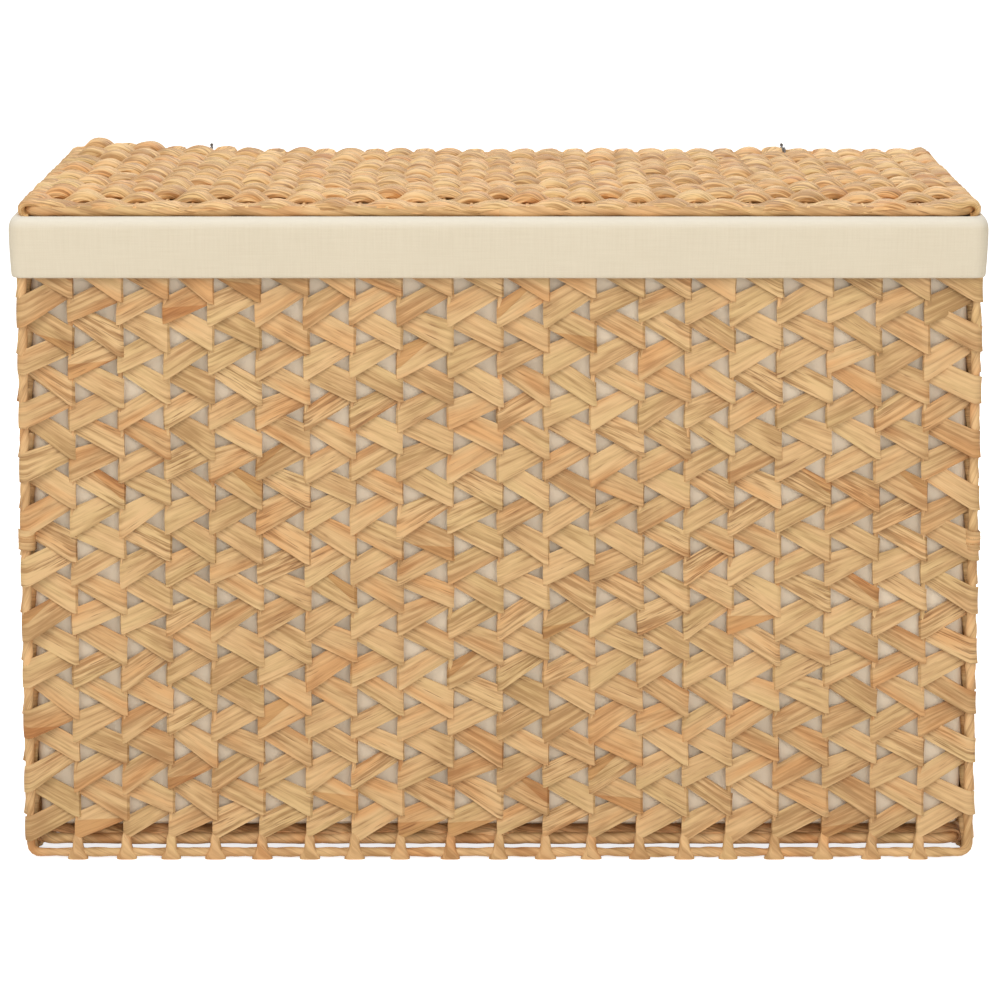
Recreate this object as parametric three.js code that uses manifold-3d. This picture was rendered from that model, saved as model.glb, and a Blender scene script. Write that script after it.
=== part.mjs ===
// A lidded laundry basket: four woven panels on wrapped wire frames are lashed at the corners,
// with a woven base inside them, a cloth liner turned over the rim and a woven lid on two wire ties.
// Millimetres, +Z up, the front faces -Y, and the origin is on the floor under the basket's middle.

import * as THREE from "three";
import { mergeVertices } from "three/addons/utils/BufferGeometryUtils.js";
import Module from "manifold-3d";

const wasm = await Module();
wasm.setup();

// Driving dimensions of the panels
const panelWidth = 750; // front and back panels, over their frames
const basketDepth = 415; // front of the front frame to back of the back frame
const panelHeight = 513; // bottom rail to top rail, over the frame
const panelCornerRadius = 16; // outer bend of a side panel's frame
const panelGap = 0.6; // between the posts that meet at a corner
const railThickness = 8; // wire and its wrapping, across the flats of the eight sides

// Driving dimensions of the stakes, which stand between the rails of each panel
const stakeSpacing = 37; // wanted distance between stakes, rounded to a whole number of gaps
const stakeWidth = 6;
const stakeThickness = 4;
const footWidth = 15; // flared wrapping at the foot of each stake
const footDepth = 10.6;
const footDrop = 2; // the feet reach this far below the bottom rail
const footRise = 2; // and this far above it

// Driving dimensions of the woven strips
const stripThickness = 1.2; // one layer of flattened leaf
const sheetThickness = 3; // woven sheet between the stakes
const baseMatThickness = 14; // plaited base, crest to crest
const baseMatRise = 4; // the base's strands stand this far above the lashings on its frame
const lidMatThickness = 14; // plaited lid, crest to crest
const matGroove = 2; // depth of the groove between two strands of a mat
const strandSpacing = 27; // wanted distance between the strands of a mat
const cordSpacing = 21.8; // between the cords that the lid's strands go over and under
const lidMatWave = 6; // a lid strand rises this much from under one cord to over the next
const lidMatRise = 5.5; // the lid's strands stand this far above its frame

// Driving dimensions of the base and the lid
const baseClearance = 1; // base frame to the panels around it
const baseGap = 0.5; // base frame above the bottom rails
const baseCornerRadius = 14;
const lidInset = 3.5; // the lid's frame lies this far inside the panels' outer faces
const lidCornerRadius = 22;
const lidClearance = 0.6; // lid frame above the cuff, so that its back rail can roll

// Driving dimensions of the liner
const clothThickness = 2; // cloth with its seams
const cuffDrop = 45; // how far the cuff hangs down outside
const seamGap = 0.2; // between panels of cloth that are sewn together

// Driving dimensions of the ties
const tieThickness = 1.6;
const tieWidth = 8; // leaf lashings
const hingeTieWidth = 4; // wire ties of the lid
const hingeStake = 3; // each hinge tie sits beside this stake, counted from the corner
const hingeTieGap = 1; // from that stake to the tie
const slotClearance = 0.5; // liner slot to hinge tie, on each side
const tieDrops = { middle: 253, top: 30 }; // corner lashings, down from the top of the frames
const fit = 0.3; // clearance between pieces that rest on or pass round each other

// Steps of the round stretches
const bendSteps = 2;
const tieSteps = 4;

// Sizes that follow from the ones above
const railRadius = railThickness / 2;
const railCornerRadius = railRadius / Math.cos(Math.PI / 8);
const tieInnerRadius = railCornerRadius + fit;
const tieOuterRadius = tieInnerRadius + tieThickness;
const tieRoom = tieOuterRadius + fit - railRadius; // space that a tie needs beside a rail
const sidePanelWidth = basketDepth - 2 * railThickness - 2 * panelGap;
const frontPlane = basketDepth / 2 - railRadius; // middle of the front and back frames
const sidePlane = panelWidth / 2 - railRadius; // middle of the side frames
const sidePost = sidePanelWidth / 2 - railRadius; // middle of a side frame's posts
const frameTop = footDrop + panelHeight;
const bottomRailLevel = footDrop + railRadius;
const topRailLevel = frameTop - railRadius;
const baseLevel = footDrop + railThickness + baseGap + railRadius;
const baseWidth = panelWidth - 2 * railThickness - 2 * baseClearance;
const baseDepth = basketDepth - 2 * railThickness - 2 * baseClearance;
const baseTieTop = baseLevel + tieOuterRadius;
const cuffTop = frameTop + fit + clothThickness;
const lidLevel = cuffTop + lidClearance + railRadius;
const lidWidth = panelWidth - 2 * lidInset;
const lidDepth = basketDepth - 2 * lidInset;
const hingeLine = lidDepth / 2 - railRadius; // middle of the lid's back rail

// Joining and cutting of closed meshes
function solidOf(geometry) {
  const bare = geometry.clone();
  bare.deleteAttribute("normal");
  bare.deleteAttribute("uv");
  const merged = mergeVertices(bare);
  const vertProperties = merged.getAttribute("position").array;
  const triVerts = new Uint32Array(merged.index.array);
  return new wasm.Manifold(new wasm.Mesh({ numProp: 3, vertProperties, triVerts }));
}

function geometryOf(solid) {
  const mesh = solid.getMesh();
  const geometry = new THREE.BufferGeometry();
  geometry.setAttribute("position", new THREE.BufferAttribute(mesh.vertProperties, 3));
  geometry.setIndex(new THREE.BufferAttribute(mesh.triVerts, 1));
  geometry.computeVertexNormals();
  return geometry;
}

function join(first, others) {
  return geometryOf(others.reduce((solid, other) => solid.add(solidOf(other)), solidOf(first)));
}

function cut(first, tools) {
  return geometryOf(tools.reduce((solid, tool) => solid.subtract(solidOf(tool)), solidOf(first)));
}

function trim(first, limit) {
  return geometryOf(solidOf(first).intersect(solidOf(limit)));
}

// Outlines
function roundedRectangle(path, width, height, radius) {
  const x = width / 2 - radius;
  const y = height / 2 - radius;
  path.absarc(x, y, radius, 0, Math.PI / 2, false);
  path.absarc(-x, y, radius, Math.PI / 2, Math.PI, false);
  path.absarc(-x, -y, radius, Math.PI, 1.5 * Math.PI, false);
  path.absarc(x, -y, radius, 1.5 * Math.PI, 2 * Math.PI, false);
  path.closePath();
  return path;
}

function stadium(path, span, radius) {
  path.absarc(span / 2, 0, radius, -Math.PI / 2, Math.PI / 2, false);
  path.absarc(-span / 2, 0, radius, Math.PI / 2, 1.5 * Math.PI, false);
  path.closePath();
  return path;
}

function rectangle(path, middle, width, height) {
  path.moveTo(middle - width / 2, -height / 2);
  path.lineTo(middle + width / 2, -height / 2);
  path.lineTo(middle + width / 2, height / 2);
  path.lineTo(middle - width / 2, height / 2);
  path.closePath();
  return path;
}

// Extrudes an outline from one height to another
function prism(shape, low, high, curveSegments) {
  const depth = high - low;
  const geometry = new THREE.ExtrudeGeometry(shape, { depth, bevelEnabled: false, curveSegments });
  return geometry.translate(0, 0, low);
}

// A rounded rectangle of wrapped wire, lying in XY, with eight flat sides round the wire
function wireLoop(width, height, cornerRadius) {
  const outline = roundedRectangle(new THREE.Shape(), width, height, cornerRadius);
  const innerWidth = width - 2 * railThickness;
  const innerHeight = height - 2 * railThickness;
  const innerRadius = cornerRadius - railThickness;
  outline.holes.push(roundedRectangle(new THREE.Path(), innerWidth, innerHeight, innerRadius));
  const chamfer = railRadius * (2 - Math.SQRT2);
  const loop = new THREE.ExtrudeGeometry(outline, {
    depth: railThickness - 2 * chamfer,
    bevelThickness: chamfer,
    bevelSize: chamfer,
    bevelOffset: -chamfer,
    bevelSegments: 1,
    curveSegments: bendSteps,
  });
  return loop.translate(0, 0, chamfer - railRadius);
}

// Places of the stakes along a panel, and the distance between them
function stakeGap(width) {
  const run = width - railThickness;
  return run / Math.round(run / stakeSpacing);
}

function stakePlaces(width) {
  const gap = stakeGap(width);
  const count = Math.round((width - railThickness) / gap) - 1;
  return Array.from({ length: count }, (_, i) => (i - (count - 1) / 2) * gap);
}

function stake(place) {
  const geometry = new THREE.BoxGeometry(stakeWidth, stakeThickness, topRailLevel - bottomRailLevel);
  return geometry.translate(place, 0, (topRailLevel + bottomRailLevel) / 2);
}

// The wrapping that flares out round the bottom rail where a stake ends
function stakeFoot(place) {
  const height = footDrop + railThickness + footRise;
  const foot = new THREE.CylinderGeometry(stakeWidth / Math.SQRT2, footWidth / Math.SQRT2, height, 4);
  foot.rotateY(Math.PI / 4);
  foot.rotateX(Math.PI / 2);
  foot.scale(1, footDepth / footWidth, 1);
  return foot.translate(place, 0, height / 2);
}

function panelFrame(width) {
  const loop = wireLoop(width, panelHeight, panelCornerRadius);
  loop.rotateX(Math.PI / 2);
  loop.translate(0, 0, footDrop + panelHeight / 2);
  return join(loop, stakePlaces(width).flatMap((place) => [stake(place), stakeFoot(place)]));
}

// The woven strips of a panel: a sheet that swells round each stake, with a channel that the stake runs in
function panelWeave(width) {
  const halfWidth = width / 2 - railThickness - tieRoom;
  const flat = sheetThickness / 2;
  const ridge = stakeThickness / 2 + fit + stripThickness;
  const ridgeTop = stakeWidth / 2 + fit + stripThickness;
  const ridgeFoot = ridgeTop + ridge - flat;
  const places = stakePlaces(width);
  const side = places.flatMap((place) => [
    new THREE.Vector2(place - ridgeFoot, flat),
    new THREE.Vector2(place - ridgeTop, ridge),
    new THREE.Vector2(place + ridgeTop, ridge),
    new THREE.Vector2(place + ridgeFoot, flat),
  ]);
  const back = [new THREE.Vector2(-halfWidth, flat), ...side, new THREE.Vector2(halfWidth, flat)];
  const front = back.map((point) => new THREE.Vector2(point.x, -point.y));
  const outline = new THREE.Shape([...front, ...back.reverse()]);
  const channelWidth = stakeWidth + 2 * fit;
  const channelDepth = stakeThickness + 2 * fit;
  outline.holes = places.map((place) => rectangle(new THREE.Path(), place, channelWidth, channelDepth));
  return prism(outline, baseTieTop + fit, frameTop - railThickness - tieRoom, 1);
}

// A closed band round two parallel rails whose middles lie a span apart along X
function tieBand(span, width) {
  const outline = stadium(new THREE.Shape(), span, tieOuterRadius);
  outline.holes.push(stadium(new THREE.Path(), span, tieInnerRadius));
  return prism(outline, -width / 2, width / 2, tieSteps);
}

// A closed solid between two surfaces over a grid of X and Y places
function gridSolid(xs, ys, bottom, top) {
  const positions = [bottom, top].flatMap((surface) =>
    ys.flatMap((y, j) => xs.flatMap((x, i) => [x, y, surface(i, j)])),
  );
  const low = (i, j) => j * xs.length + i;
  const high = (i, j) => low(i, j) + xs.length * ys.length;
  const index = [];
  const face = (a, b, c, d) => index.push(a, b, c, a, c, d);
  const lastX = xs.length - 1;
  const lastY = ys.length - 1;
  for (let j = 0; j < lastY; j += 1) {
    for (let i = 0; i < lastX; i += 1) {
      face(high(i, j), high(i + 1, j), high(i + 1, j + 1), high(i, j + 1));
      face(low(i, j), low(i, j + 1), low(i + 1, j + 1), low(i + 1, j));
    }
    face(low(0, j + 1), low(0, j), high(0, j), high(0, j + 1));
    face(low(lastX, j), low(lastX, j + 1), high(lastX, j + 1), high(lastX, j));
  }
  for (let i = 0; i < lastX; i += 1) {
    face(low(i, 0), low(i + 1, 0), high(i + 1, 0), high(i, 0));
    face(low(i + 1, lastY), low(i, lastY), high(i, lastY), high(i + 1, lastY));
  }
  const geometry = new THREE.BufferGeometry();
  geometry.setAttribute("position", new THREE.Float32BufferAttribute(positions, 3));
  geometry.setIndex(index);
  return geometry;
}

// A plaited mat inside a wire loop round the origin. Its strands lie in rows along X between two Y limits.
// Its crest is measured up from the loop's middle, and its wave is how far a strand rises over a cord.
function wovenMat(loop, width, front, back, { crest, thickness, wave }) {
  const rows = Math.round((back - front) / strandSpacing);
  const cordCount = wave > 0 ? 2 * Math.floor(width / 2 / cordSpacing - 0.5) + 1 : 0;
  const cords = Array.from({ length: cordCount }, (_, i) => (i - (cordCount - 1) / 2) * cordSpacing);
  const xs = [-width / 2, ...cords, width / 2];
  const ys = Array.from({ length: 2 * rows + 1 }, (_, j) => front + ((back - front) * j) / (2 * rows));
  const dip = (i, j, side) => {
    const betweenRows = j % 2 === 0;
    const atEnd = i === 0 || i === xs.length - 1;
    if (betweenRows) return wave / 2 + matGroove;
    if (atEnd) return wave / 2;
    return (i + (j - 1) / 2 + side) % 2 === 1 ? wave : 0;
  };
  const top = (i, j) => crest - dip(i, j, 0);
  const bottom = (i, j) => crest - thickness + dip(i, j, 1);
  const strands = gridSolid(xs, ys, bottom, top);
  const border = railThickness + fit;
  const insideWidth = loop.width - 2 * border;
  const insideDepth = loop.depth - 2 * border;
  const insideRadius = loop.cornerRadius - railThickness;
  const inside = roundedRectangle(new THREE.Shape(), insideWidth, insideDepth, insideRadius);
  return trim(strands, prism(inside, crest - 2 * thickness, crest + thickness, bendSteps));
}

// Turns an outline drawn in XY to stand in YZ, extruded along X
function turnAlongX(geometry) {
  geometry.rotateX(Math.PI / 2);
  return geometry.rotateZ(Math.PI / 2);
}

// Finishes
function finish(color, roughness, metalness) {
  return new THREE.MeshStandardMaterial({ color, roughness, metalness });
}

const wrappedRail = () => finish(0xc49a63, 0.75, 0);
const leafStrip = () => finish(0xd1a76c, 0.7, 0);
const darkStrand = () => finish(0x9a6f45, 0.8, 0);
const cloth = () => finish(0xe9dfcf, 0.95, 0);
const tieWire = () => finish(0x6b645d, 0.5, 0.8);

function part(name, geometry, material) {
  const mesh = new THREE.Mesh(geometry, material);
  mesh.name = name;
  return mesh;
}

const basket = new THREE.Group();

// Four panels, each built facing -Y and turned to its own side
const panels = [
  { name: "front", width: panelWidth, x: 0, y: -frontPlane, turn: 0 },
  { name: "back", width: panelWidth, x: 0, y: frontPlane, turn: Math.PI },
  { name: "left", width: sidePanelWidth, x: -sidePlane, y: 0, turn: -Math.PI / 2 },
  { name: "right", width: sidePanelWidth, x: sidePlane, y: 0, turn: Math.PI / 2 },
];
for (const { name, width, x, y, turn } of panels) {
  const panel = new THREE.Group();
  panel.position.set(x, y, 0);
  panel.rotation.z = turn;
  panel.add(part(`${name}_frame`, panelFrame(width), wrappedRail()));
  panel.add(part(`${name}_weave`, panelWeave(width), leafStrip()));
  basket.add(panel);
}

// Leaf lashings hold the two posts of each corner together
const corners = [
  { name: "front_left", x: -1, y: -1 },
  { name: "front_right", x: 1, y: -1 },
  { name: "back_left", x: -1, y: 1 },
  { name: "back_right", x: 1, y: 1 },
];
for (const corner of corners) {
  for (const [levelName, drop] of Object.entries(tieDrops)) {
    const band = tieBand(frontPlane - sidePost, tieWidth).rotateZ(Math.PI / 2);
    const tie = part(`${corner.name}_tie_${levelName}`, band, leafStrip());
    tie.position.set(corner.x * sidePlane, (corner.y * (frontPlane + sidePost)) / 2, frameTop - drop);
    basket.add(tie);
  }
}

// The base: a wire loop filled with a plaited mat, hung from the side panels' bottom rails by four lashings
const base = new THREE.Group();
const baseLoop = { width: baseWidth, depth: baseDepth, cornerRadius: baseCornerRadius };
base.position.z = baseLevel;
base.add(part("base_frame", wireLoop(baseWidth, baseDepth, baseCornerRadius), wrappedRail()));
const baseMatWidth = baseWidth - 2 * railThickness - 2 * tieRoom;
const baseMatEnd = baseDepth / 2 - railThickness - fit;
const baseMatCrest = railRadius + tieRoom + baseMatRise;
const baseWeave = { crest: baseMatCrest, thickness: baseMatThickness, wave: 0 };
const baseMat = wovenMat(baseLoop, baseMatWidth, -baseMatEnd, baseMatEnd, baseWeave);
base.add(part("base_mat", baseMat, darkStrand()));
basket.add(base);

const baseRail = baseWidth / 2 - railRadius;
const baseTieRise = baseLevel - bottomRailLevel;
const baseTieRun = sidePlane - baseRail;
for (const corner of corners) {
  const band = tieBand(Math.hypot(baseTieRun, baseTieRise), tieWidth).rotateX(Math.PI / 2);
  const tie = part(`base_tie_${corner.name}`, band, leafStrip());
  const tieX = (corner.x * (sidePlane + baseRail)) / 2;
  const tieY = corner.y * (sidePost - stakeGap(sidePanelWidth) / 2);
  tie.position.set(tieX, tieY, (baseLevel + bottomRailLevel) / 2);
  tie.rotation.y = corner.x * Math.atan2(baseTieRise, baseTieRun);
  basket.add(tie);
}

// Two wire ties round the lid's back rail and the back panel's top rail
const hingeRun = frontPlane - hingeLine;
const hingeRise = lidLevel - topRailLevel;
const hingeStakePlace = sidePlane - hingeStake * stakeGap(panelWidth);
const hingeTiePlace = hingeStakePlace - stakeWidth / 2 - hingeTieGap - hingeTieWidth / 2;
const hingeSides = { left: -hingeTiePlace, right: hingeTiePlace };
for (const [sideName, place] of Object.entries(hingeSides)) {
  const band = turnAlongX(tieBand(Math.hypot(hingeRun, hingeRise), hingeTieWidth));
  const tie = part(`hinge_tie_${sideName}`, band, tieWire());
  tie.position.set(place, (frontPlane + hingeLine) / 2, (topRailLevel + lidLevel) / 2);
  tie.rotation.x = -Math.atan2(hingeRise, hingeRun);
  basket.add(tie);
}

// The liner: a cloth bag of a floor and four walls that stands on the base
const bagWidth = panelWidth - 2 * railThickness - 2 * tieRoom;
const bagDepth = basketDepth - 2 * railThickness - 2 * tieRoom;
const bagBottom = baseLevel + baseMatCrest + fit;
const wallBottom = bagBottom + clothThickness + seamGap;
const wallHeight = frameTop - wallBottom;
const mouthWidth = bagWidth - 2 * clothThickness;
const mouthDepth = bagDepth - 2 * clothThickness;
const bagFloor = new THREE.BoxGeometry(bagWidth, bagDepth, clothThickness);
bagFloor.translate(0, 0, bagBottom + clothThickness / 2);
basket.add(part("liner_floor", bagFloor, cloth()));

// Slots let the hinge ties through the cloth
const slotStart = mouthDepth / 2 - clothThickness;
const slotEnd = frontPlane + tieOuterRadius + fit / 2;
const slotBottom = topRailLevel - tieOuterRadius - fit;
const slotTop = cuffTop + clothThickness;
const slots = Object.values(hingeSides).map((place) => {
  const width = hingeTieWidth + 2 * slotClearance;
  const slot = new THREE.BoxGeometry(width, slotEnd - slotStart, slotTop - slotBottom);
  return slot.translate(place, (slotStart + slotEnd) / 2, (slotTop + slotBottom) / 2);
});

// The front and back walls reach across the ends of the side walls
const bagSides = [
  { name: "front", x: 0, y: -1, width: bagWidth, depth: clothThickness },
  { name: "back", x: 0, y: 1, width: bagWidth, depth: clothThickness },
  { name: "left", x: -1, y: 0, width: clothThickness, depth: mouthDepth - 2 * seamGap },
  { name: "right", x: 1, y: 0, width: clothThickness, depth: mouthDepth - 2 * seamGap },
];
for (const { name, x, y, width, depth } of bagSides) {
  const wall = new THREE.BoxGeometry(width, depth, wallHeight);
  const wallX = (x * (bagWidth - clothThickness)) / 2;
  const wallY = (y * (bagDepth - clothThickness)) / 2;
  wall.translate(wallX, wallY, wallBottom + wallHeight / 2);
  basket.add(part(`liner_${name}`, cut(wall, slots), cloth()));
}

// The cuff: the top of the cloth, turned over the top rails and hanging outside them
const skirtWidth = panelWidth + 2 * tieRoom;
const skirtDepth = basketDepth + 2 * tieRoom;
const skirtRadius = tieOuterRadius + fit;
const cuffWidth = skirtWidth + 2 * clothThickness;
const cuffDepth = skirtDepth + 2 * clothThickness;
const cuffRadius = skirtRadius + clothThickness;
const cuffBottom = cuffTop - cuffDrop;
const cuffOutline = roundedRectangle(new THREE.Shape(), cuffWidth, cuffDepth, cuffRadius);
const skirtOutline = roundedRectangle(new THREE.Shape(), skirtWidth, skirtDepth, skirtRadius);
const mouthOutline = rectangle(new THREE.Shape(), 0, mouthWidth, mouthDepth);
const cuffBlock = prism(cuffOutline, cuffBottom, cuffTop, bendSteps);
const skirtHollow = prism(skirtOutline, cuffBottom - clothThickness, cuffTop - clothThickness, bendSteps);
const cuffMouth = prism(mouthOutline, cuffBottom, cuffTop + clothThickness, 1);
const cuffRing = cut(cuffBlock, [skirtHollow, cuffMouth, ...slots]);

// Its four sides are mitred at the corners
const cuffEnd = cuffWidth / 2;
const cuffFace = cuffDepth / 2;
const seamEnd = cuffEnd - seamGap;
const cuffSides = {
  front: [[-seamEnd, -cuffFace], [seamEnd, -cuffFace], [seamEnd - cuffFace, 0], [cuffFace - seamEnd, 0]],
  back: [[-seamEnd, cuffFace], [seamEnd, cuffFace], [seamEnd - cuffFace, 0], [cuffFace - seamEnd, 0]],
  left: [[-cuffEnd, -cuffFace], [cuffFace - cuffEnd, 0], [-cuffEnd, cuffFace]],
  right: [[cuffEnd, -cuffFace], [cuffEnd - cuffFace, 0], [cuffEnd, cuffFace]],
};
for (const [sideName, points] of Object.entries(cuffSides)) {
  const wedge = new THREE.Shape(points.map(([x, y]) => new THREE.Vector2(x, y)));
  const side = trim(cuffRing, prism(wedge, cuffBottom - clothThickness, slotTop, 1));
  basket.add(part(`cuff_${sideName}`, side, cloth()));
}

// The lid turns on its own back rail, so its group sits on that line
const lid = new THREE.Group();
const lidLoop = { width: lidWidth, depth: lidDepth, cornerRadius: lidCornerRadius };
lid.position.set(0, hingeLine, lidLevel);
const lidFrame = part("lid_frame", wireLoop(lidWidth, lidDepth, lidCornerRadius), wrappedRail());
const lidMatWidth = lidWidth - 2 * railThickness - 2 * fit;
const lidMatFront = -lidDepth / 2 + railThickness + fit;
const lidMatBack = hingeLine - railRadius - tieRoom;
const lidWeave = { crest: railRadius + lidMatRise, thickness: lidMatThickness, wave: lidMatWave };
const lidMatSolid = wovenMat(lidLoop, lidMatWidth, lidMatFront, lidMatBack, lidWeave);
const lidMat = part("lid_mat", lidMatSolid, leafStrip());
for (const piece of [lidFrame, lidMat]) {
  piece.position.y = -hingeLine;
  lid.add(piece);
}
basket.add(lid);

export default basket;
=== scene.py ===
from functools import partial
from math import asin, atan2, copysign, cos, exp, hypot, pi, radians, sin

import bmesh
import bpy
import numpy as np
from mathutils import Matrix, Vector


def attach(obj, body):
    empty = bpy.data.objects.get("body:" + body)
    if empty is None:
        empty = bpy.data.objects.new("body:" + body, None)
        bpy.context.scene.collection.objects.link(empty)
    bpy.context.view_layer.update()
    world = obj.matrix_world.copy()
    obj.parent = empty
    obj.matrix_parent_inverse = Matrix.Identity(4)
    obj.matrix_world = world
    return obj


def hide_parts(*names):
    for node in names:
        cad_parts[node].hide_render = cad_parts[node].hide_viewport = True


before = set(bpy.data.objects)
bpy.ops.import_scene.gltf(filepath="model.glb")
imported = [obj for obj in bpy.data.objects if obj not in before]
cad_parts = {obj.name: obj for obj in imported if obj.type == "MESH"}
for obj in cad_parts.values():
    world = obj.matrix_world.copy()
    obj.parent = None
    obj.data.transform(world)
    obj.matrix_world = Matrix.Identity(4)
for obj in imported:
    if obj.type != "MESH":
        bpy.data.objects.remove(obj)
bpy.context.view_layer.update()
scene = bpy.context.scene
scene.view_settings.view_transform = "Standard"


# Camera, floor and light
# The basket stands on a plain white floor under soft studio light and is seen from the front, a little above.
# The floor and the world show as white to the camera, and the floor keeps the basket's shadow.
image_size = 1000
focal_pixels = 3870
camera_place = (0.0005, -3.192, 0.896)
camera_pitch = radians(11.4)
white = (1.0, 1.0, 1.0, 1.0)
sky_colour = (1.0, 0.985, 0.96, 1.0)
sky_strength = 0.55
floor_half = 20.0
floor_colour = (0.86, 0.86, 0.87, 1.0)
floor_glow = 0.80


def placed(name, data):
    """A new object in the scene."""
    made = bpy.data.objects.new(name, data)
    scene.collection.objects.link(made)
    return made


camera_data = bpy.data.cameras.new("camera")
camera_data.sensor_width = 36.0
camera_data.lens = camera_data.sensor_width * focal_pixels / image_size
camera = placed("camera", camera_data)
camera.location = camera_place
camera.rotation_euler = (pi / 2 - camera_pitch, 0, 0)
scene.camera = camera


def fill(made, inputs):
    """Sets or links the inputs of a node."""
    for key, value in inputs.items():
        if isinstance(value, bpy.types.NodeSocket):
            made.id_data.links.new(value, made.inputs[key])
        else:
            made.inputs[key].default_value = value


def node(tree, kind, inputs=None, **settings):
    """Adds a node with its settings and its inputs."""
    made = tree.nodes.new(kind)
    for name, value in settings.items():
        setattr(made, name, value)
    fill(made, inputs or {})
    return made


def linked(kind, inputs, **settings):
    """Adds a node to the tree that its linked inputs come from."""
    tree = next(value.id_data for value in inputs.values() if isinstance(value, bpy.types.NodeSocket))
    return node(tree, kind, inputs, **settings)


def maths(operation, *values):
    return linked("ShaderNodeMath", dict(enumerate(values)), operation=operation).outputs[0]


times = partial(maths, "MULTIPLY")
plus = partial(maths, "ADD")
minus = partial(maths, "SUBTRACT")
times_plus = partial(maths, "MULTIPLY_ADD")


def camera_or_mirror(tree):
    """One for rays that come from the camera, a mirror or glass, and zero for the rest."""
    path = node(tree, "ShaderNodeLightPath")
    seen = maths("MAXIMUM", path.outputs["Is Camera Ray"], path.outputs["Is Glossy Ray"])
    return maths("MAXIMUM", seen, path.outputs["Is Transmission Ray"])


def new_material(name):
    """A material with its Principled shader, ready for its colours."""
    material = bpy.data.materials.new(name)
    material.use_nodes = True
    return material, material.node_tree, material.node_tree.nodes["Principled BSDF"]


world = bpy.data.worlds.new("studio")
scene.world = world
world.use_nodes = True
sky = world.node_tree
sky.nodes.clear()
dim_white = node(sky, "ShaderNodeBackground", {"Color": sky_colour, "Strength": sky_strength})
pure_white = node(sky, "ShaderNodeBackground", {"Color": white, "Strength": 1.0})
sky_inputs = {0: camera_or_mirror(sky), 1: dim_white.outputs[0], 2: pure_white.outputs[0]}
sky_mix = linked("ShaderNodeMixShader", sky_inputs)
linked("ShaderNodeOutputWorld", {"Surface": sky_mix.outputs[0]})

floor_mesh = bpy.data.meshes.new("floor")
corners = [(x * floor_half, y * floor_half, 0) for x, y in ((-1, -1), (1, -1), (1, 1), (-1, 1))]
floor_mesh.from_pydata(corners, [], [(0, 1, 2, 3)])
floor = placed("floor", floor_mesh)
floor_paint, paint, floor_shader = new_material("floor_white")
fill(floor_shader, {
    "Base Color": floor_colour,
    "Roughness": 0.9,
    "Specular IOR Level": 0.0,
    "Emission Color": white,
    "Emission Strength": times(camera_or_mirror(paint), floor_glow),
})
floor_mesh.materials.append(floor_paint)


def softbox(name, place, target, size, power):
    """A square area lamp that faces a point."""
    lamp_data = bpy.data.lights.new(name, "AREA")
    lamp_data.size = size
    lamp_data.energy = power
    lamp = placed(name, lamp_data)
    lamp.location = place
    lamp.rotation_euler = (Vector(target) - Vector(place)).to_track_quat("-Z", "Y").to_euler()


softbox("key_light", (-1.4, -2.3, 2.9), (0, 0, 0.25), 2.2, 48)
softbox("fill_light", (0.9, -3.4, 0.9), (0, 0, 0.25), 2.0, 32)
softbox("back_light", (0.3, 2.2, 2.4), (0, 0, 0.3), 1.6, 38)


# Panel frames
# Each side of the basket is a loop of steel wire wrapped in twisted leaf, with thin wrapped stakes standing
# between its top and bottom rails. A leaf folded over the bottom rail flares out below each stake.
panel_width = 0.750
basket_depth = 0.415
panel_height = 0.513
foot_drop = 0.002
foot_height = 0.026
rail_thickness = 0.008
panel_gap = 0.0006
panel_corner = 0.0105
side_width = basket_depth - 2 * rail_thickness - 2 * panel_gap
front_plane = (basket_depth - rail_thickness) / 2
side_plane = (panel_width - rail_thickness) / 2
bottom_rail = foot_drop + rail_thickness / 2
top_rail = foot_drop + panel_height - rail_thickness / 2
stake_spacing = 0.037
stake_radius = 0.0018
rail_radius = 0.0031
rail_step = 0.003
floor_splay = 0.011
loop_radius = 0.0037
sharp_angle = radians(50)


def vectors(operation, *values):
    return linked("ShaderNodeVectorMath", dict(enumerate(values)), operation=operation).outputs["Vector"]


def scaled(vector, factor):
    return linked("ShaderNodeVectorMath", {0: vector, "Scale": factor}, operation="SCALE").outputs["Vector"]


def xyz(x=0.0, y=0.0, z=0.0):
    return linked("ShaderNodeCombineXYZ", {0: x, 1: y, 2: z}).outputs[0]


def parts(vector):
    return linked("ShaderNodeSeparateXYZ", {0: vector}).outputs


def ramp(value, start, end, low=0.0, high=1.0, **settings):
    """Goes from low to high while a value goes from start to end."""
    inputs = {0: value, 1: start, 2: end, 3: low, 4: high}
    return linked("ShaderNodeMapRange", inputs, **settings).outputs[0]


def clouds(vector, scale=1.0, detail=2.0, roughness=0.5):
    """Smooth noise from about 0 to 1."""
    inputs = {"Vector": vector, "Scale": scale, "Detail": detail, "Roughness": roughness}
    return linked("ShaderNodeTexNoise", inputs).outputs[0]


def noise(vector, scale=1.0, detail=2.0):
    """Smooth noise from about -0.5 to 0.5."""
    return minus(clouds(vector, scale, detail), 0.5)


def position(tree):
    return node(tree, "GeometryNodeInputPosition").outputs[0]


def stored(geometry, name, value, kind="FLOAT"):
    """Keeps a value on a geometry under a name."""
    inputs = {"Geometry": geometry, "Name": name, "Value": value}
    domain = "CORNER" if name in ("UVMap", "wrap", "fold") else "POINT"
    made = linked("GeometryNodeStoreNamedAttribute", inputs, data_type=kind, domain=domain)
    return made.outputs["Geometry"]


def recalled(tree, name, kind="FLOAT"):
    return node(tree, "GeometryNodeInputNamedAttribute", {"Name": name}, data_type=kind).outputs["Attribute"]


def add_sockets(tree, direction, **kinds):
    """Gives a tree its named inputs or outputs, by kind."""
    for kind, labels in kinds.items():
        for label in labels:
            tree.interface.new_socket(label, in_out=direction, socket_type="NodeSocket" + kind)


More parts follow.
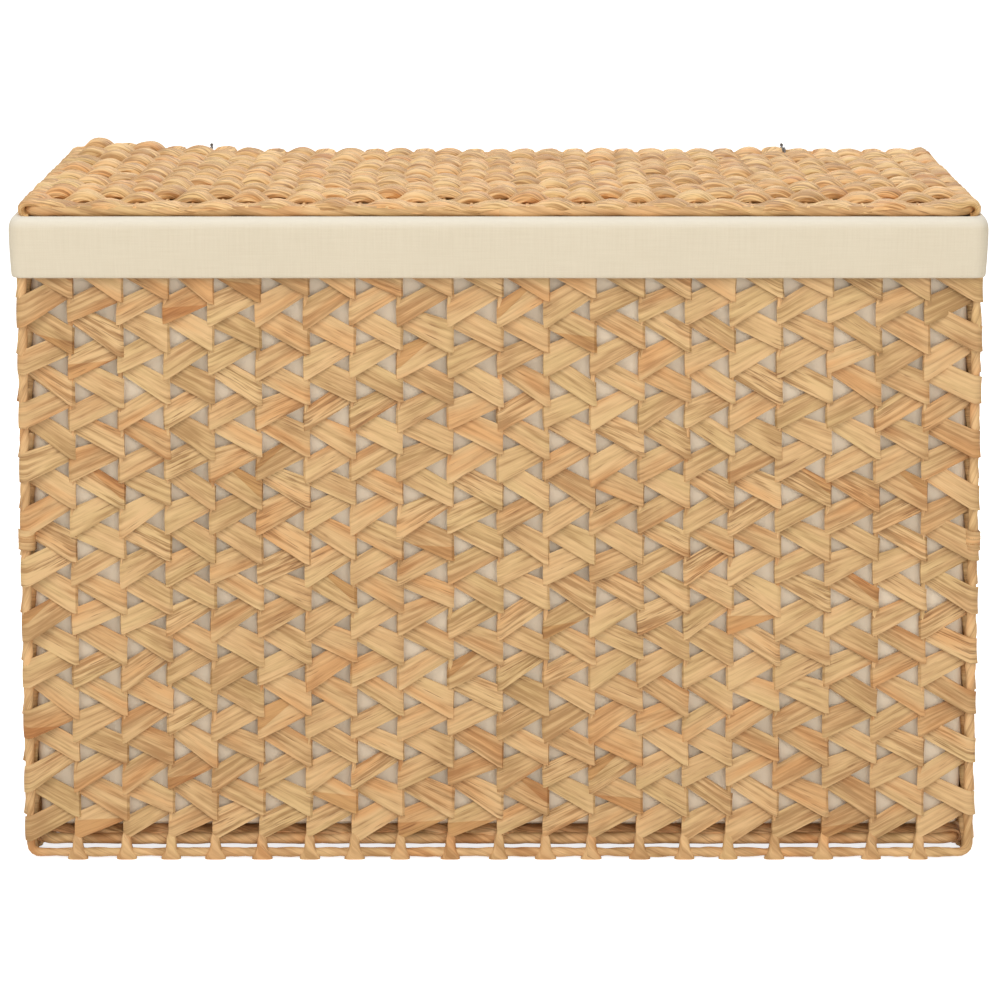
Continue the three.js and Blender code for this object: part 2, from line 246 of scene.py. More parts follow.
def new_tree(name, sizes, counts=(), ways=()):
    """A geometry tree with named inputs. Returns it with its input node's sockets."""
    tree = bpy.data.node_groups.new(name, "GeometryNodeTree")
    add_sockets(tree, "OUTPUT", Geometry=["Geometry"])
    add_sockets(tree, "INPUT", Object=["Path", "Places"], Int=counts, Vector=ways,
                Float=["Length", "Seed", *sizes], Material=["Material"])
    return tree, tree.nodes.new("NodeGroupInput").outputs


def finish_tree(tree, given, copies, spot, uv, **kept):
    """Moves the copies' points to their spots, keeps what the material reads, and makes the faces smooth."""
    result = linked("GeometryNodeSetPosition", {"Geometry": copies, "Position": spot}).outputs[0]
    result = stored(result, "UVMap", uv, "FLOAT2")
    for name, value in kept.items():
        result = stored(result, name, value)
    smooth = linked("GeometryNodeSetShadeSmooth", {0: result}).outputs[0]
    painted = linked("GeometryNodeSetMaterial", {"Geometry": smooth, "Material": given["Material"]})
    linked("NodeGroupOutput", {0: painted.outputs[0]})
    return tree


def cylinder(tree, sides, steps):
    inputs = {"Vertices": sides, "Side Segments": steps, "Radius": 1.0, "Depth": 1.0}
    return node(tree, "GeometryNodeMeshCylinder", inputs, fill_type="NGON").outputs["Mesh"]


def copies_along_paths(tree, given, template):
    """Puts a template at each place, and keeps the place and its number on the copy."""
    places = node(tree, "GeometryNodeObjectInfo", {"Object": given["Places"]}).outputs["Geometry"]
    places = stored(places, "place", position(tree), "FLOAT_VECTOR")
    places = stored(places, "number", node(tree, "GeometryNodeInputIndex").outputs[0])
    copies = linked("GeometryNodeInstanceOnPoints", {"Points": places, "Instance": template})
    return linked("GeometryNodeRealizeInstances", {0: copies.outputs[0]}).outputs[0]


def sampled(tree, given, factor):
    """Reads the path that each copy follows."""
    path = node(tree, "GeometryNodeObjectInfo", {"Object": given["Path"]}).outputs["Geometry"]
    inputs = {
        "Curves": path,
        "Value": node(tree, "GeometryNodeInputRadius").outputs[0],
        "Factor": factor,
        "Curve Index": recalled(tree, "path_index", "INT"),
    }
    return linked("GeometryNodeSampleCurve", inputs, mode="FACTOR").outputs


def own_number(tree, given):
    """A number that differs from copy to copy and from piece to piece."""
    return times_plus(recalled(tree, "number"), 7.31, given["Seed"])


def tube_tree():
    """A tube along a path, wound with leaf strips: Lead is how far a strip runs in one turn."""
    sizes = ["Half Width", "Half Height", "Seam", "Strips", "Lead", "Relief", "Lumps"]
    tree, given = new_tree("wound_tube", sizes, ["Steps", "Sides"], ["Across"])
    template = cylinder(tree, given["Sides"], given["Steps"])
    x, y, z = parts(position(tree))
    template = stored(template, "turn", maths("ARCTAN2", y, x))
    template = stored(template, "along", plus(z, 0.5))
    copies = copies_along_paths(tree, given, template)
    number = own_number(tree, given)
    along = recalled(tree, "along")
    turn = recalled(tree, "turn")
    path = sampled(tree, given, along)
    distance = times(along, given["Length"])
    share = maths("DIVIDE", turn, 2 * pi)
    phase = minus(share, maths("DIVIDE", distance, given["Lead"]))
    phase = times(phase, given["Strips"])
    crown = maths("SINE", times(maths("FRACT", phase), pi))
    crown = times(maths("POWER", crown, 0.6), given["Relief"])
    place = vectors("ADD", path["Position"], recalled(tree, "place", "FLOAT_VECTOR"))
    lump = noise(vectors("ADD", place, xyz(number)), 45.0)
    rise = plus(crown, times(lump, given["Lumps"]))
    angle = plus(turn, given["Seam"])
    across = given["Across"]
    up = vectors("NORMALIZE", vectors("CROSS_PRODUCT", path["Tangent"], across))
    broad = times_plus(path["Value"], 0.45, 0.55)
    half_width = plus(times(given["Half Width"], broad), rise)
    half_height = plus(times(given["Half Height"], path["Value"]), rise)
    sideways = scaled(across, times(maths("COSINE", angle), half_width))
    upward = scaled(up, times(maths("SINE", angle), half_height))
    spot = vectors("ADD", place, vectors("ADD", sideways, upward))

    round_length = times(given["Half Width"], 2 * pi)
    slant = maths("ARCTAN2", round_length, given["Lead"])
    around = times(share, round_length)
    cosine = maths("COSINE", slant)
    sine = maths("SINE", slant)
    fibre = plus(plus(times(distance, cosine), times(around, sine)), number)
    uv = xyz(fibre, minus(times(around, cosine), times(distance, sine)))
    tone = times_plus(noise(xyz(number, times(distance, 14.0))), 1.5, 0.5)
    return finish_tree(tree, given, copies, spot, uv, wrap=phase, tone=tone)


wound_tube = tube_tree()


def line_object(lines):
    """A curve object for a tree to follow. Each line is a list of points (x, y, z) or (x, y, z, scale)."""
    data = bpy.data.curves.new("path", "CURVE")
    data.dimensions = "3D"
    for points in lines:
        spline = data.splines.new("POLY")
        spline.points.add(len(points) - 1)
        for point, values in zip(spline.points, points):
            point.co = (*values[:3], 1.0)
            point.radius = values[3] if len(values) > 3 else 1.0
    return placed("path", data)


def place_object(places):
    """Points for a tree to put its copies at. Each is (x, y, z, number of the path to follow)."""
    mesh = bpy.data.meshes.new("places")
    mesh.from_pydata([place[:3] for place in places], [], [])
    index = mesh.attributes.new("path_index", "INT", "POINT")
    index.data.foreach_set("value", [int(place[3]) for place in places])
    return placed("places", mesh)


def length_of(points):
    steps = np.diff(np.array([point[:3] for point in points]), axis=0)
    return float(np.linalg.norm(steps, axis=1).sum())


def grown(tree, lines, places, thickness=0.0, **values):
    """Runs a tree and keeps its result as a plain mesh. Inputs that aren't named stay at zero."""
    path = line_object(lines)
    spots = place_object(places)
    holder = placed("holder", bpy.data.meshes.new("holder"))
    modifier = holder.modifiers.new("grow", "NODES")
    modifier.node_group = tree
    inputs = {item.name: item.identifier for item in tree.interface.items_tree if item.in_out == "INPUT"}
    values = {"path": path, "places": spots, "length": length_of(lines[0]), **values}
    for name, value in values.items():
        modifier[inputs[name.replace("_", " ").title()]] = value
    if thickness:
        skin = holder.modifiers.new("skin", "SOLIDIFY")
        skin.thickness = thickness
        skin.offset = 0.0
    holder.update_tag()
    bpy.context.view_layer.update()
    evaluated = holder.evaluated_get(bpy.context.evaluated_depsgraph_get())
    mesh = bpy.data.meshes.new_from_object(evaluated)
    for made in (path, spots, holder):
        bpy.data.objects.remove(made)
    return mesh


def tube(lines, places, radius, **values):
    """A round wound tube."""
    return grown(wound_tube, lines, places, half_width=radius, half_height=radius, **values)


def splayed(mesh):
    """The basket's sides lean out a little on the way down."""
    points = np.empty(len(mesh.vertices) * 3, np.float32)
    mesh.vertices.foreach_get("co", points)
    points.shape = (-1, 3)
    points[:, 0] *= 1 + floor_splay * np.clip(1 - points[:, 2] / panel_height, 0, 1)
    mesh.vertices.foreach_set("co", points.ravel())


def declare(made, body, replaced):
    """Says what a piece rides on, which CAD nodes it stands for."""
    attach(made, body)
    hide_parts(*replaced)


def piece(name, meshes, body, replaced, turned=None):
    """Joins meshes of one material into a piece that rides on a body and stands for CAD nodes."""
    joined = bmesh.new()
    for mesh in meshes:
        joined.from_mesh(mesh)
    data = bpy.data.meshes.new(name)
    joined.to_mesh(data)
    joined.free()
    for helper in ("along", "breadth", "number", "path_index", "place", "shape", "turn"):
        if helper in data.attributes:
            data.attributes.remove(data.attributes[helper])
    data.materials.append(next(material for material in meshes[0].materials if material))
    data.polygons.foreach_set("material_index", [0] * len(data.polygons))
    if turned is not None:
        data.transform(turned)
    splayed(data)
    data.set_sharp_from_angle(angle=sharp_angle)
    declare(placed(name, data), body, replaced)


def mixed(share, first, second, blend="MIX"):
    return linked("ShaderNodeMixRGB", {0: share, 1: first, 2: second}, blend_type=blend).outputs[0]


def attribute(tree, name):
    return node(tree, "ShaderNodeAttribute", attribute_name=name).outputs["Fac"]


def leaf_group():
    """Dried leaf: fibre streaks along the strip, a tone for each strip, stains and thin dark splits.
    Some patches are redder and some are yellower."""
    tree = bpy.data.node_groups.new("dried_leaf", "ShaderNodeTree")
    add_sockets(tree, "INPUT", Color=["Pale", "Middle", "Deep", "Split"], Float=["Tone", "Contrast"])
    add_sockets(tree, "OUTPUT", Color=["Color"], Float=["Roughness", "Height"])
    given = tree.nodes.new("NodeGroupInput").outputs
    uv = node(tree, "ShaderNodeUVMap", uv_map="UVMap").outputs[0]

    def streaks(along, across, detail=2.0):
        return clouds(vectors("MULTIPLY", uv, (along, across, 1.0)), 1.0, detail, 0.6)

    fine = streaks(44.0, 1000.0, 3.0)
    broad = streaks(20.0, 260.0)
    cracks = streaks(30.0, 560.0)
    rust = streaks(7.0, 36.0)
    stain = minus(clouds(node(tree, "ShaderNodeTexCoord").outputs["Object"], 34.0, 3.0), 0.5)
    fibres = times_plus(minus(broad, 0.5), 1.8, times(minus(fine, 0.5), 0.5))
    level = times_plus(fibres, given["Contrast"], given["Tone"])
    level = times_plus(stain, 0.5, level)
    colour = mixed(ramp(level, 0.15, 0.5), given["Deep"], given["Middle"])
    colour = mixed(ramp(level, 0.45, 0.85), colour, given["Pale"])
    ruddy = ramp(rust, 0.52, 0.66)
    colour = mixed(ruddy, colour, (0.95, 0.805, 0.69, 1.0), "MULTIPLY")
    sallow = ramp(rust, 0.52, 0.34, 0.0, 0.9)
    colour = mixed(sallow, colour, (0.945, 1.0, 0.955, 1.0), "MULTIPLY")
    worn = times_plus(stain, -0.45, cracks)
    worn = times_plus(minus(given["Contrast"], 1.1), 0.07, worn)
    split = ramp(worn, 0.64, 0.74, 0.0, 0.7)
    colour = mixed(split, colour, given["Split"])
    rough = ramp(broad, 0.3, 0.7, 0.58, 0.74)
    height = times_plus(fine, 0.55, times(broad, 0.45))
    height = minus(height, times(split, 0.8))
    linked("NodeGroupOutput", {"Color": colour, "Roughness": rough, "Height": height})
    return tree


dried_leaf = leaf_group()
pale_straw = (0.80, 0.51, 0.245)
straw = (0.64, 0.382, 0.172)
amber = (0.47, 0.255, 0.10)
bark = (0.24, 0.112, 0.042)
leaf_back = (0.83, 0.69, 0.56, 1.0)


def leaf_material(name, pale, middle, deep, contrast, edge):
    """A finish of dried leaf. Edge is how dark the line is where one winding laps the next.
    A flat strip has no windings, and shows its darker back where it is folded over."""
    material, tree, shader = new_material(name)
    leaf = node(tree, "ShaderNodeGroup", node_tree=dried_leaf)
    for label, value in (("Pale", pale), ("Middle", middle), ("Deep", deep), ("Split", bark)):
        leaf.inputs[label].default_value = (*value, 1.0)
    fill(leaf, {"Tone": attribute(tree, "tone"), "Contrast": contrast})
    colour, rough, height = leaf.outputs
    if edge:
        lap = ramp(maths("FRACT", attribute(tree, "wrap")), 0.0, 0.10, edge, 0.0)
        colour = mixed(lap, colour, (*bark, 1.0))
        height = minus(height, lap)
    else:
        fill(leaf, {"Contrast": times(attribute(tree, "grain"), contrast)})
        under = ramp(attribute(tree, "fold"), 0.0, 0.07)
        colour = mixed(under, colour, leaf_back, "MULTIPLY")
        height = times_plus(under, 0.6, height)
    bump = linked("ShaderNodeBump", {"Strength": 0.55, "Distance": 0.0006, "Height": height}).outputs[0]
    fill(shader, {"Base Color": colour, "Roughness": rough, "Normal": bump, "Specular IOR Level": 0.35})
    return material


wrapped_leaf = leaf_material("wrapped_leaf", pale_straw, straw, amber, contrast=0.85, edge=0.4)


def wrapped_rail(line, radius, across, **values):
    """A rail along a closed line, wound with two strips."""
    return tube(
        [line], [(0, 0, 0, 0)], radius, steps=int(length_of(line) / rail_step), sides=12, across=across,
        strips=2.0, material=wrapped_leaf, **values)


def loop_points(width, height, radius, steps=6):
    """A closed rounded rectangle round the origin, as flat points from the middle of its lower side."""
    points = [(0.0, -height / 2)]
    x, y = width / 2 - radius, height / 2 - radius
    for sign_x, sign_y, start in ((1, -1, -0.5), (1, 1, 0.0), (-1, 1, 0.5), (-1, -1, 1.0)):
        for i in range(steps + 1):
            angle = pi * (start + 0.5 * i / steps)
            points.append((sign_x * x + radius * cos(angle), sign_y * y + radius * sin(angle)))
    return points + [points[0]]


def stake_places(width):
    """Where the posts and stakes of a panel stand along it. The stakes drift a little from even places."""
    run = width - rail_thickness
    gaps = round(run / stake_spacing)
    places = []
    for i in range(gaps + 1):
        drift = -0.0018
        for size, start, wave in ((0.0017, -2.0, 9.2), (0.0011, 1.6, 3.8)):
            drift += size * cos(2 * pi * (i + start) / wave)
        places.append(run * (i / gaps - 0.5) + drift * min(i, gaps - i, 2) / 2)
    return places


def foot_tree():
    """The folded leaf under a stake: a bell that widens downwards round the bottom rail."""
    tree, given = new_tree("stake_foot", ["Neck", "Foot", "Depth"])
    template = stored(cylinder(tree, 14, 9), "shape", position(tree), "FLOAT_VECTOR")
    copies = copies_along_paths(tree, given, template)
    number = own_number(tree, given)
    neck = given["Neck"]
    across, back, high = parts(recalled(tree, "shape", "FLOAT_VECTOR"))
    level = plus(high, 0.5)

    def boxed(value):
        size = maths("POWER", maths("ABSOLUTE", value), 0.55)
        return times(size, maths("SIGN", value))

    flare = ramp(level, 0.42, 0.04, interpolation_type="SMOOTHSTEP")
    uneven = noise(xyz(number, times(level, 1.5)))
    flare = times(flare, times_plus(uneven, 1.4, 1.0))
    half = times_plus(flare, minus(given["Foot"], neck), neck)
    swell = maths("SINE", times(maths("POWER", level, 0.47), pi))
    deep = times_plus(swell, minus(given["Depth"], neck), neck)
    slim = ramp(level, 0.64, 0.86, 1.0, 0.5)
    x = times(boxed(across), times(half, slim))
    y = times(boxed(back), times(deep, slim))
    lean = times(noise(xyz(number), 3.0), 0.010)
    x = times_plus(lean, minus(1.0, level), x)
    spot = xyz(x, y, times(level, given["Length"]))
    spot = vectors("ADD", spot, recalled(tree, "place", "FLOAT_VECTOR"))
    turn = maths("ARCTAN2", across, times(back, -1.0))
    fibre = times_plus(level, given["Length"], number)
    uv = xyz(fibre, times_plus(turn, neck, times(level, 0.012)))
    tone = plus(noise(xyz(number), 9.0), 0.5)
    return finish_tree(tree, given, copies, spot, uv, wrap=0.5, tone=tone)


stake_foot = foot_tree()


def stood(x, y, angle):
    """Where a panel stands: it is made along X with its face to the front."""
    return Matrix.Translation((x, y, 0)) @ Matrix.Rotation(angle, 4, "Z")


panels = {
    "front": (panel_width, stood(0, -front_plane, 0)),
    "back": (panel_width, stood(0, front_plane, pi)),
    "left": (side_width, stood(-side_plane, 0, -pi / 2)),
    "right": (side_width, stood(side_plane, 0, pi / 2)),
}
panel_middle = foot_drop + panel_height / 2
loop_inset = 2 * rail_radius + 0.0006
stake_line = [(0, 0, bottom_rail), (0, 0, top_rail)]
foot_line = [(0, 0, 0), (0, 0, foot_height)]
for number, (side, (width, turned)) in enumerate(panels.items()):
    loop = loop_points(width - loop_inset, panel_height - loop_inset, panel_corner - loop_inset / 2)
    rail_line = [(x, 0, z + panel_middle) for x, z in loop]
    stands = [(x, 0, 0, 0) for x in stake_places(width)[1:-1]]
    rails = wrapped_rail(
        rail_line, rail_radius, (0, -1, 0), lead=0.050, relief=0.0008, lumps=0.0032, seed=3.0 + number)
    stakes = tube(
        [stake_line], stands, stake_radius, steps=120, sides=7, across=(0, -1, 0), strips=1.0, lead=0.06,
        relief=0.0002, lumps=0.0004, seed=23.0 + number, material=wrapped_leaf)
    feet = grown(
        stake_foot, [foot_line], stands, neck=0.0041, foot=0.0082, depth=0.0056, seed=5.0 + number,
        material=wrapped_leaf)
    piece(side + "_rails", [rails, stakes, feet], "basket", [side + "_frame"], turned)


# Woven strips
# One flat leaf strip fills each gap between two stakes. It zigzags down the gap: from behind one stake it
# slants to the front of the other, folds round it and comes back, so small triangles stay open.
strip_width = 0.0222
strip_thickness = 0.0010
row_drop = 0.0417
cross_fall = 0.0182
lowest_turn = 0.0245
strip_loops = 12
loop_steps = 30


def strip_tree():
    """A flat strip along a path that repeats, one loop below the other. A few runs have an edge folded over,
    and a few are more streaked."""
    sizes = ["First Loop", "Last Loop", "Drop", "Width", "Wobble", "Curl", "Tilt"]
    tree, given = new_tree("flat_strip", sizes, ["Steps"], ["Across"])
    inputs = {"Size X": 1.0, "Size Y": 1.0, "Vertices X": given["Steps"], "Vertices Y": 5}
    template = node(tree, "GeometryNodeMeshGrid", inputs).outputs["Mesh"]
    grid = parts(position(tree))
    template = stored(template, "along", plus(grid[0], 0.5))
    template = stored(template, "breadth", grid[1])
    copies = copies_along_paths(tree, given, template)
    number = own_number(tree, given)
    breadth = recalled(tree, "breadth")
    span = minus(given["Last Loop"], given["First Loop"])
    loops = times_plus(recalled(tree, "along"), span, given["First Loop"])
    path = sampled(tree, given, maths("FRACT", loops))
    runs = times(loops, 2.0)
    run = maths("FLOOR", runs)
    part = maths("FRACT", runs)
    crossed = maths("MINIMUM", maths("DIVIDE", part, 0.82), 1.0)

    def between_folds(axis):
        """A chance value at each fold, with an even change between two, so that edges stay straight."""
        ends = []
        for fold_number in (run, plus(run, 1.0)):
            vector = xyz(fold_number, number, axis)
            ends.append(linked("ShaderNodeTexWhiteNoise", {"Vector": vector}).outputs["Value"])
        return minus(times_plus(crossed, minus(ends[1], ends[0]), ends[0]), 0.5)

    wander = between_folds(1.0)
    swell = between_folds(2.0)
    twist = noise(xyz(times(loops, 3.1), number, 9.0), 1.0, 1.0)
    width = times(given["Width"], path["Value"])
    width = times(width, times_plus(swell, 0.36, 1.0))
    rise = times_plus(wander, given["Wobble"], times(breadth, width))
    rise = minus(rise, times(maths("FLOOR", loops), given["Drop"]))
    out = vectors("NORMALIZE", vectors("CROSS_PRODUCT", path["Tangent"], given["Across"]))
    cup = times(times(breadth, breadth), given["Curl"])
    tip = times(times(breadth, twist), times(given["Curl"], 2.5))
    shifts = (
        recalled(tree, "place", "FLOAT_VECTOR"),
        scaled(given["Across"], rise),
        scaled(out, plus(cup, tip)),
        xyz(0.0, times(breadth, given["Tilt"])),
    )
    spot = path["Position"]
    for shift in shifts:
        spot = vectors("ADD", spot, shift)

    fibre = times_plus(loops, given["Length"], number)
    uv = xyz(fibre, times_plus(breadth, given["Width"], number))
    dice = linked("ShaderNodeTexWhiteNoise", {"Vector": xyz(run, number)}, noise_dimensions="2D")
    slow = noise(xyz(times(loops, 0.9), number, 2.0))
    tone = times_plus(slow, 0.6, times_plus(dice.outputs["Value"], 0.29, 0.375))
    chance = parts(dice.outputs["Color"])
    edge = minus(times(maths("GREATER_THAN", chance[1], 0.5), 2.0), 1.0)
    slope = times_plus(part, 1.5, times_plus(chance[0], 0.5, -1.3))
    fold = plus(times(times(breadth, 2.0), edge), slope)
    rare = maths("GREATER_THAN", chance[2], 0.92)
    fold = minus(fold, times(minus(1.0, rare), 4.0))
    grain = ramp(maths("FRACT", times(chance[0], 9.0)), 0.78, 1.0, 0.78, 1.9)
    return finish_tree(tree, given, copies, spot, uv, tone=tone, fold=fold, grain=grain)


flat_strip = strip_tree()
woven_leaf = leaf_material(
    "woven_leaf", (0.725, 0.47, 0.226), (0.575, 0.35, 0.156), (0.41, 0.225, 0.088), contrast=1.2, edge=0.0)


def weave_path(spacing, left, right, steps=9, narrow=0.86):
    """One falling loop round two stakes, where left and right are the strip's bends round them."""
    slant = asin((left + right) / spacing)
    sine, cosine = sin(slant), cos(slant)
    turn_fall = row_drop / 2 - cross_fall
    points = []

    def cross(start, end, high):
        for i in range(steps):
            t = i / steps
            x = start[0] + (end[0] - start[0]) * t
            y = start[1] + (end[1] - start[1]) * t
            points.append((x, y, high - cross_fall * t, narrow + (1 - narrow) * t))

    def bend(middle, radius, first, last, high):
        for i in range(steps):
            t = i / steps
            angle = first + (last - first) * t
            x = middle + radius * cos(angle)
            y = radius * sin(angle)
            points.append((x, y, high - turn_fall * t, 1 - (1 - narrow) * t))

    cross((left * sine, left * cosine), (spacing - right * sine, -right * cosine), 0.0)
    bend(spacing, right, -pi / 2 - slant, pi / 2 + slant, -cross_fall)
    cross((spacing - right * sine, right * cosine), (left * sine, -left * cosine), -row_drop / 2)
    bend(0.0, left, slant - pi / 2, -1.5 * pi - slant, -row_drop / 2 - cross_fall)
    points.append((left * sine, left * cosine, -row_drop, narrow))
    return points


stake_bend = stake_radius + strip_thickness / 2 + 0.0002
post_bend = rail_radius + strip_thickness / 2 + 0.0014
strip_top = lowest_turn + strip_loops * row_drop
for number, (side, (width, turned)) in enumerate(panels.items()):
    stands = stake_places(width)
    gaps = len(stands) - 1
    bends = [post_bend] + [stake_bend] * (gaps - 1) + [post_bend]
    lines = [weave_path(stands[i + 1] - stands[i], bends[i], bends[i + 1]) for i in range(gaps)]
    places = [(stands[i], 0, strip_top, i) for i in range(gaps)]
    strips = grown(
        flat_strip, lines, places, strip_thickness, steps=strip_loops * loop_steps, first_loop=0.5,
        last_loop=strip_loops, drop=row_drop, width=strip_width, across=(0, 0, 1), wobble=0.0052, curl=0.0018,
        tilt=0.0026, seed=11.0 + number, material=woven_leaf)
    piece(side + "_strips", [strips], "basket", [side + "_weave"], turned)


# Corner lashings
# A leaf strip, wound a few times round the two posts of a corner, holds the panels together. Each corner has
# one lashing at half height and one under the cuff.
side_post = (side_width - rail_thickness) / 2
frame_top = foot_drop + panel_height
lashing_radius = 0.0062
lashing_pitch = 0.0046
lashing_drops = (0.252, 0.022)
lashing_half = 0.004


def stadium_loop(span, radius, fall, steps=8):
    """One turn round two rails that lie a span apart along Y, falling along Z."""
    points = []
    for end, first in ((-1, pi), (1, 0.0)):
        for i in range(steps + 1):
            angle = first + pi * i / steps
            points.append([radius * cos(angle), end * span / 2 + radius * sin(angle)])
    points.append(points[0])
    lengths = np.linalg.norm(np.diff(np.array(points), axis=0), axis=1)
    falls = np.concatenate([[0.0], np.cumsum(lengths)]) / lengths.sum() * fall
    return [(x, y, -drop) for (x, y), drop in zip(points, falls)]


lashing_line = stadium_loop(front_plane - side_post, lashing_radius, lashing_pitch)
lashing_places = [
    (x * side_plane, y * (front_plane + side_post) / 2, frame_top - drop + lashing_half, 0)
    for x in (-1, 1) for y in (-1, 1) for drop in lashing_drops
]
lashings = grown(
    flat_strip, [lashing_line], lashing_places, strip_thickness, steps=90, last_loop=2.6, drop=lashing_pitch,
    width=0.0064, across=(0, 0, 1), wobble=0.0012, curl=0.0006, seed=31.0, material=woven_leaf)
lashed = [
    f"{y}_{x}_tie_{level}"
    for x in ("left", "right") for y in ("front", "back") for level in ("middle", "top")
]
piece("corner_lashings", [lashings], "basket", lashed)


# Base
# A wrapped wire loop with a mat of darker leaf plaited on it, which carries the liner. The mat's leaf is
# painted as pale as the straw, painted light that lifts the shade above the base rail. Four lashings hang it
# from the bottom rails of the side panels.
base_gap = 0.002
base_width = panel_width - 2 * rail_thickness - base_gap
base_depth = basket_depth - 2 * rail_thickness - base_gap
base_level = foot_drop + rail_thickness * 1.5 + 0.0005
base_corner = 0.014
base_rail_level = base_level - 0.0002
warp_spacing = 0.0218
warp_radius = 0.0018
row_spacing = 0.027
strand_rise = 0.0016
settle_length = 0.013
first_settle = 0.034
end_scale = 0.42
end_steps = 8
curl_start = 0.20
curl_length = 0.13
curl_rise = 1.8
# The mat's leaf is painted as pale as the straw: painted light for the shaded slot above the base rail.
painted_light_base_leaf = leaf_material(
    "painted_light_base_leaf", (0.80, 0.49, 0.24), (0.66, 0.37, 0.165), (0.46, 0.225, 0.09), contrast=1.2, edge=0.6)


def wrapped_loop(width, depth, corner, level, radius, lead, seed):
    """A wrapped loop lying flat."""
    loop = loop_points(width - rail_thickness, depth - rail_thickness, corner - rail_thickness / 2)
    line = [(x, y, level) for x, y in loop]
    return wrapped_rail(line, radius, (0, 0, 1), lead=lead, relief=0.0006, lumps=0.0020, seed=seed)


def slump(x):
    """How the middle and right of a tired mat hang, as a share: its left end curls up instead."""
    curl = min(max((-x - curl_start) / curl_length, 0.0), 1.0)
    return 1 - curl_rise * curl * curl


def strand_line(sign, rail, wave, middle, level, chance, sag=0.0, stoutness=1.0, settle=settle_length):
    """A strand that goes over and under the warps and round the rail at either end. Settle is how far from
    the left end it starts to come down on the rail."""
    over_rail = loop_radius + strand_rise
    inside = rail - 0.001
    sway = chance.uniform(-1.0, 1.0, 6)
    shift = chance.uniform(-0.0020, 0.0020)
    stout = chance.uniform(0.72, 1.14, 2 * int(rail / warp_spacing) + 4)
    points = []
    for x in np.arange(-inside, inside, 0.0028):
        drift = shift + 0.0014 * sin(23 * x + 6 * sway[0])
        rise = cos(pi * (x + drift) / warp_spacing)
        rise = sign * copysign(abs(rise) ** 0.8, rise)
        reach = settle if x < 0 else settle_length
        near = min(max((abs(x) - inside + reach) / reach, 0.0), 1.0)
        near = near * near * (3 - 2 * near)
        fat = np.interp((x + rail) / warp_spacing, np.arange(len(stout)), stout)
        height = (middle + wave * fat * rise - sag * slump(x)) * (1 - near) + over_rail * near
        scale = stoutness * fat * (0.89 + 0.11 * rise) * (1 - near) + end_scale * near
        y = 0.0007 * sum(part * sin((i + 2) * 9 * x + 5 * part) for i, part in enumerate(sway))
        points.append((x, y, level + height, scale))
    for i in range(end_steps + 1):
        angle = pi * 1.08 * i / end_steps
        radius = over_rail - 0.0006 * i / end_steps
        x, z = rail + radius * sin(angle), level + radius * cos(angle)
        scale = end_scale - 0.16 * i / end_steps
        points.append((x, points[-1][1], z, scale))
        points.insert(0, (-x, points[0][1], z, scale))
    return points


def plait(rail, front, back, level, middle, wave, half_height, fullness, seed, material, lift=0.0, sag=0.0):
    """Strands in rows that go over and under warps. The first is slimmer and flatter, at its own height, and
    the last ones sag."""
    rows = round((back - front) / row_spacing)
    pitch = (back - front) / rows
    chance = np.random.default_rng(int(seed))
    lines = [strand_line(1, rail, wave * 0.42, middle + lift, level, chance, 0.0, 0.90, first_settle)]
    for i in range(1, rows):
        lines.append(strand_line((-1) ** i, rail, wave, middle, level, chance, sag * (i / (rows - 1)) ** 2))
    places = [(0, front + (i + 0.5) * pitch, chance.uniform(-0.0004, 0.0004), i) for i in range(rows)]
    strands = grown(
        wound_tube, lines, places, steps=300, sides=14, half_width=pitch * fullness, half_height=half_height,
        across=(0, 1, 0), seam=-pi / 2, strips=6.0, lead=0.16, relief=0.0014, lumps=0.0030, seed=seed,
        material=material)
    count = int(rail / warp_spacing)
    height = level + middle
    warp_line = [(0, front, height), (0, 0, height - 0.25 * sag), (0, back, height - sag)]
    warp_places = [(i * warp_spacing, 0, 0, 0) for i in range(-count, count + 1)]
    warps = tube(
        [warp_line], warp_places, warp_radius, steps=30, sides=6, across=(1, 0, 0), strips=1.0, lead=0.03,
        lumps=0.0004, seed=seed + 3.0, material=material)
    return [strands, warps]


base_loop = wrapped_loop(base_width, base_depth, base_corner, base_rail_level, 0.0042, 0.045, 41.0)
piece("base_rails", [base_loop], "basket", ["base_frame"])
base_reach = base_depth / 2 - rail_thickness
base_rail = (base_width - rail_thickness) / 2
base_plait = plait(
    base_rail, -base_reach, base_reach, base_level, middle=0.0036, wave=0.0022, half_height=0.0054,
    fullness=0.70, seed=43.0, material=painted_light_base_leaf)
piece("base_plait", base_plait, "basket", ["base_mat"])

tie_rise = base_level - bottom_rail
tie_run = side_plane - base_rail
tie_pitch = 0.003
tie_line = stadium_loop(hypot(tie_run, tie_rise), 0.0052, tie_pitch)
tie_slope = atan2(tie_rise, tie_run)
side_gap = stake_places(side_width)[1] - stake_places(side_width)[0]
tie_meshes = []
for x in (-1, 1):
    sloped = [tuple(Matrix.Rotation(x * tie_slope, 4, "Y") @ Vector((y, a, z))) for a, y, z in tie_line]
    spots = [
        (x * (side_plane + base_rail) / 2, y * (side_post - side_gap / 2), (base_level + bottom_rail) / 2, 0)
        for y in (-1, 1)
    ]
    tie_meshes.append(grown(
        flat_strip, [sloped], spots, strip_thickness, steps=70, last_loop=2.2, drop=tie_pitch, width=0.0055,
        across=(0, 1, 0), wobble=0.0008, curl=0.0004, seed=47.0 + x, material=woven_leaf))
hung = [f"base_tie_{y}_{x}" for y in ("front", "back") for x in ("left", "right")]
piece("base_lashings", tie_meshes, "basket", hung)


